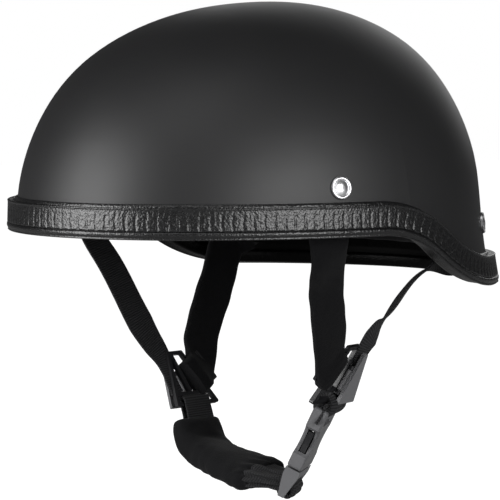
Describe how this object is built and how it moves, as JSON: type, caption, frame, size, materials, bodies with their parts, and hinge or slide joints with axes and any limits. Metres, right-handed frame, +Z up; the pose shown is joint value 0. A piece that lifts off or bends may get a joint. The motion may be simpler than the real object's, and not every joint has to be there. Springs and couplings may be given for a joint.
{
  "type": "half shell motorcycle helmet",
  "caption": "Half shell helmet with riveted strap harness, strap dividers with flaps, side-release buckle and padded chin sleeve.",
  "frame": {"origin": "the middle of the head opening, level with the shell's widest ring; the mount named head", "axes": "+Z up towards the crown, the helmet faces -Y, the wearer's left is +X"},
  "size_m": [0.2358, 0.2915, 0.2683],
  "materials": {
    "shell": "matt paint",
    "trim": "embossed, semi-gloss",
    "liner_foam": "expanded foam",
    "pad_cloth": "knitted",
    "rivet_steel": "polished",
    "webbing": "woven, ribbed",
    "plush": "brushed",
    "moulded_black": "semi-gloss",
    "moulded_grey": "satin"
  },
  "bodies": {
    "helmet": {"outer_shell": "shell", "edge_trim": "trim", "impact_liner": "liner_foam", "brow_pad": "pad_cloth", "crown_pad": "pad_cloth", "side_pad_left": "pad_cloth", "side_pad_right": "pad_cloth", "nape_pad": "pad_cloth", "strap_rivets": "rivet_steel", "rivet_washers": "rivet_steel", "front_strap_left": "webbing", "sleeve_left": "plush", "rear_strap_left": "webbing", "front_strap_right": "webbing", "rear_strap_right": "webbing", "sleeve_right": "plush", "divider_left": "moulded_black", "divider_right": "moulded_black", "buckle_strap": "webbing", "buckle_socket": "moulded_black", "chin_strap": "webbing", "chin_pad": "pad_cloth"},
    "plug": {"buckle_plug": "moulded_black", "plug_loop": "webbing"},
    "prong_front": {"prong_front": "moulded_black"},
    "prong_rear": {"prong_rear": "moulded_black"},
    "flap_left": {"flap_left": "moulded_grey"},
    "flap_right": {"flap_right": "moulded_grey"}
  },
  "joints": [
    {"name": "plug_slide", "type": "slide", "parent": "helmet", "child": "plug", "axis": [-0.3597, -0.2336, -0.9033], "range_m": [0, 0.026]},
    {"name": "prong_front_flex", "type": "hinge", "parent": "plug", "child": "prong_front", "pos_m": [0.04482, -0.01838, -0.12393], "axis": [-0.7576, -0.492, 0.4289], "range_deg": [0, 9], "stiffness_Nm_per_rad": 0.15},
    {"name": "prong_rear_flex", "type": "hinge", "parent": "plug", "child": "prong_rear", "pos_m": [0.03535, -0.00379, -0.12393], "axis": [0.7576, 0.492, -0.4289], "range_deg": [0, 9], "stiffness_Nm_per_rad": 0.15},
    {"name": "flap_left_hinge", "type": "hinge", "parent": "helmet", "child": "flap_left", "pos_m": [0.06038, 0.0037, -0.07686], "axis": [-0.3301, -0.3566, -0.874], "range_deg": [0, 80]},
    {"name": "flap_right_hinge", "type": "hinge", "parent": "helmet", "child": "flap_right", "pos_m": [-0.06069, -0.0076, -0.09036], "axis": [0.3818, 0.3006, -0.874], "range_deg": [0, 80]}
  ],
  "couplings": [
    {"joint": "prong_rear_flex", "follows": "prong_front_flex", "ratio": 1}
  ]
}
